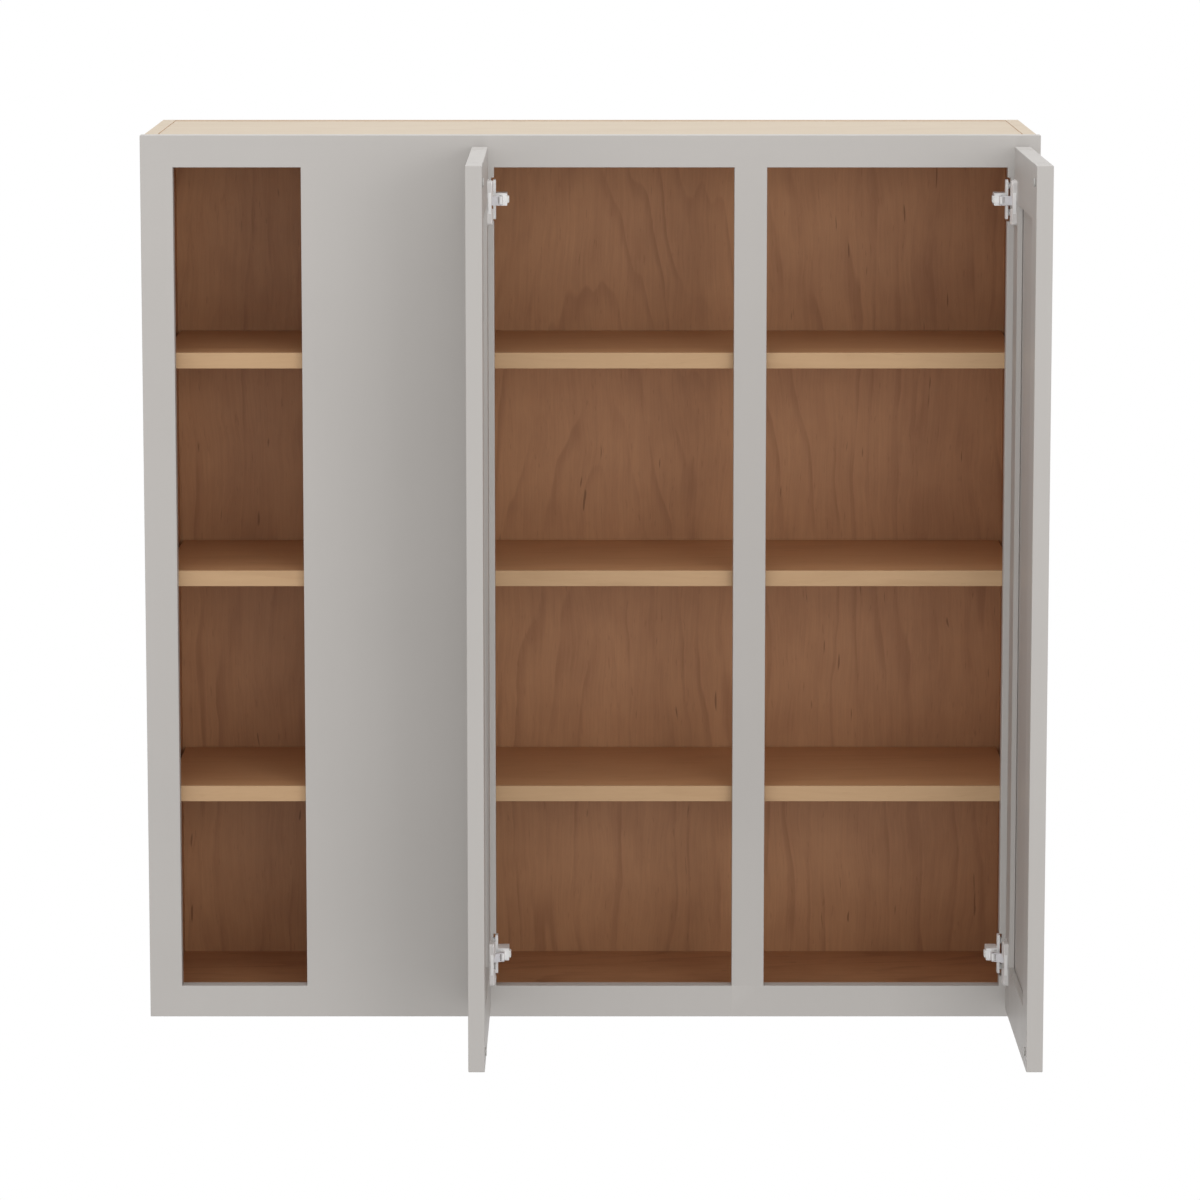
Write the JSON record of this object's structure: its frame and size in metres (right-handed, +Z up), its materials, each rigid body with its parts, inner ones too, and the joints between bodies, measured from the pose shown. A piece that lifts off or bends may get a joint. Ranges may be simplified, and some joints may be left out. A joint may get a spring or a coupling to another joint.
{
  "type": "blind wall cabinet",
  "caption": "Face-frame wall cabinet for a corner, with a wide blind stile beside an open bay, shelves across its width and framed doors on concealed hinges.",
  "frame": {"origin": "centre of the cabinet's back, in the wall's plane", "axes": "+X to the right seen from the front, +Y into the wall, +Z up; both doors open at a right angle"},
  "size_m": [1.0668, 0.6459, 1.0668],
  "materials": {
    "frame_paint": "satin grey paint on hardwood",
    "door_paint": "satin grey paint on hardwood",
    "case_maple": "clear coated maple plywood",
    "back_maple": "clear coated maple plywood",
    "shelf_maple": "clear coated maple plywood",
    "shelf_edge_maple": "solid maple edge",
    "dowel_beech": "plain beech",
    "case_screw": "zinc plated",
    "shelf_pin": "nickel plated",
    "hinge_nickel": "bright nickel plated pressed steel",
    "hinge_link": "nickel plated",
    "hinge_pin": "plain steel",
    "hinge_screw": "nickel plated",
    "hinge_cartridge": "white moulded plastic",
    "bumper": "clear soft plastic"
  },
  "bodies": {
    "cabinet": {"left_side_panel": "case_maple", "right_side_panel": "case_maple", "top_panel": "case_maple", "bottom_panel": "case_maple", "back_panel": "back_maple", "left_end_stile": "frame_paint", "blind_stile": "frame_paint", "centre_stile": "frame_paint", "right_end_stile": "frame_paint", "top_rail": "frame_paint", "bottom_rail": "frame_paint", "top_shelf": "shelf_maple", "middle_shelf": "shelf_maple", "bottom_shelf": "shelf_maple", "top_shelf_edge": "shelf_edge_maple", "middle_shelf_edge": "shelf_edge_maple", "bottom_shelf_edge": "shelf_edge_maple", "shelf_pins": "shelf_pin", "case_screws": "case_screw", "case_dowels": "dowel_beech", "frame_dowels": "dowel_beech", "back_screws": "case_screw", "left_upper_hinge_plate": "hinge_nickel", "left_upper_hinge_arm": "hinge_nickel", "left_upper_hinge_damper": "hinge_cartridge", "left_lower_hinge_plate": "hinge_nickel", "left_lower_hinge_arm": "hinge_nickel", "left_lower_hinge_damper": "hinge_cartridge", "right_upper_hinge_plate": "hinge_nickel", "right_upper_hinge_arm": "hinge_nickel", "right_upper_hinge_damper": "hinge_cartridge", "right_lower_hinge_plate": "hinge_nickel", "right_lower_hinge_arm": "hinge_nickel", "right_lower_hinge_damper": "hinge_cartridge", "hinge_plate_screws": "hinge_screw", "hinge_adjusting_screws": "hinge_screw", "hinge_pivot_pins": "hinge_pin"},
    "left_door": {"left_door_hinge_stile": "door_paint", "left_door_lock_stile": "door_paint", "left_door_top_rail": "door_paint", "left_door_bottom_rail": "door_paint", "left_door_panel": "door_paint", "left_door_bumpers": "bumper", "left_upper_hinge_cup": "hinge_nickel", "left_lower_hinge_cup": "hinge_nickel", "left_cup_screws": "hinge_screw"},
    "left_hinge_links": {"left_upper_hinge_link": "hinge_link", "left_lower_hinge_link": "hinge_link"},
    "right_door": {"right_door_hinge_stile": "door_paint", "right_door_lock_stile": "door_paint", "right_door_top_rail": "door_paint", "right_door_bottom_rail": "door_paint", "right_door_panel": "door_paint", "right_door_bumpers": "bumper", "right_upper_hinge_cup": "hinge_nickel", "right_lower_hinge_cup": "hinge_nickel", "right_cup_screws": "hinge_screw"},
    "right_hinge_links": {"right_upper_hinge_link": "hinge_link", "right_lower_hinge_link": "hinge_link"}
  },
  "joints": [
    {"name": "right_door_hinge", "type": "hinge", "parent": "cabinet", "child": "right_door", "pos_m": [0.51623, -0.32157, 0], "axis": [0, 0, 1], "range_deg": [-90, 15]},
    {"name": "left_door_hinge", "type": "hinge", "parent": "cabinet", "child": "left_door", "pos_m": [-0.13562, -0.32157, 0], "axis": [0, 0, -1], "range_deg": [-90, 15]},
    {"name": "right_link_pivot", "type": "hinge", "parent": "cabinet", "child": "right_hinge_links", "pos_m": [0.4868, -0.3156, 0], "axis": [0, 0, 1], "range_deg": [-8, 46]},
    {"name": "left_link_pivot", "type": "hinge", "parent": "cabinet", "child": "left_hinge_links", "pos_m": [-0.1062, -0.3156, 0], "axis": [0, 0, -1], "range_deg": [-8, 46]}
  ],
  "couplings": [
    {"joint": "right_link_pivot", "follows": "right_door_hinge", "ratio": -0.5044},
    {"joint": "left_link_pivot", "follows": "left_door_hinge", "ratio": -0.5044}
  ]
}
